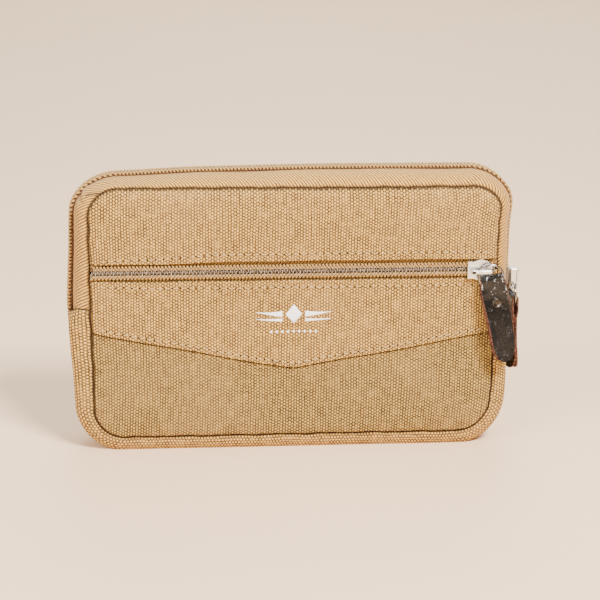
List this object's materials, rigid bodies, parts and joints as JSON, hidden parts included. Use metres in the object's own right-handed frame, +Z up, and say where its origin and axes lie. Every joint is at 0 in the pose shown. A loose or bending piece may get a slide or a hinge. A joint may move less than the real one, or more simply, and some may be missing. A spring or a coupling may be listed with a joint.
{
  "type": "zippered pouch",
  "caption": "Upright tan canvas zippered pouch with a side wall, a front zip pocket above a pointed yoke, and metal zip sliders with rings and riveted dark leather pulls.",
  "frame": {"origin": "centre of the base, on the surface the pouch stands on", "axes": "+X along the zips towards the closed sliders, -Y out of the pocket side, +Z up"},
  "size_m": [0.1892, 0.0352, 0.1204],
  "materials": {
    "canvas": "coarse tan canvas, undyed slubs",
    "zip_tape": "woven herringbone tape",
    "coil": "dyed nylon coil",
    "lining": "plain weave",
    "foam": "soft wadding",
    "binding": "grosgrain seam tape",
    "slider_metal": "bright nickel plate",
    "ring_wire": "polished wire",
    "leather": "glossy dark grain, raw red-brown edges",
    "rivet": "antique nickel"
  },
  "bodies": {
    "pouch": {"front_upper_panel": "canvas", "front_yoke": "canvas", "front_pocket_panel": "canvas", "back_panel": "canvas", "lower_gusset": "canvas", "gusset_lining": "lining", "main_zip_front_tape": "zip_tape", "main_zip_back_tape": "zip_tape", "main_zip_front_coil": "coil", "main_zip_back_coil": "coil", "pocket_zip_upper_tape": "zip_tape", "pocket_zip_lower_tape": "zip_tape", "pocket_zip_upper_coil": "coil", "pocket_zip_lower_coil": "coil", "back_padding": "foam", "back_lining": "lining", "pocket_front_lining": "lining", "pocket_divider": "lining", "divider_padding": "foam", "divider_lining": "lining", "front_seam_binding": "binding", "back_seam_binding": "binding"},
    "pocket_slider": {"pocket_slider_body": "slider_metal", "pocket_slider_crown": "slider_metal"},
    "pocket_ring": {"pocket_pull_ring": "ring_wire"},
    "pocket_pull": {"pocket_pull_strap": "leather", "pocket_rivet_cap": "rivet", "pocket_rivet_post": "rivet"},
    "main_slider": {"main_slider_body": "slider_metal", "main_slider_crown": "slider_metal"},
    "main_ring": {"main_pull_ring": "ring_wire"},
    "main_pull": {"main_pull_strap": "leather", "main_rivet_cap": "rivet", "main_rivet_post": "rivet"}
  },
  "joints": [
    {"name": "pocket_slider_travel", "type": "slide", "parent": "pouch", "child": "pocket_slider", "axis": [1, 0, 0], "range_m": [-0.154, 0]},
    {"name": "pocket_ring_flip", "type": "hinge", "parent": "pocket_slider", "child": "pocket_ring", "pos_m": [0.07715, -0.0182, 0.0783], "axis": [-0.4902, 0, -0.8716], "range_deg": [0, 90]},
    {"name": "pocket_pull_turn", "type": "hinge", "parent": "pocket_ring", "child": "pocket_pull", "pos_m": [0.0816, -0.0182, 0.0758], "axis": [0, -1, 0], "range_deg": [-10, 40]},
    {"name": "main_slider_travel", "type": "slide", "parent": "pouch", "child": "main_slider", "axis": [0, 0, 1], "range_m": [-0.005, 0.02]},
    {"name": "main_ring_flip", "type": "hinge", "parent": "main_slider", "child": "main_ring", "pos_m": [0.0952, 0, 0.0679], "axis": [0, -1, 0], "range_deg": [0, 90]},
    {"name": "main_pull_turn", "type": "hinge", "parent": "main_ring", "child": "main_pull", "pos_m": [0.0952, 0, 0.0628], "axis": [1, 0, 0], "range_deg": [-18, 45]}
  ]
}
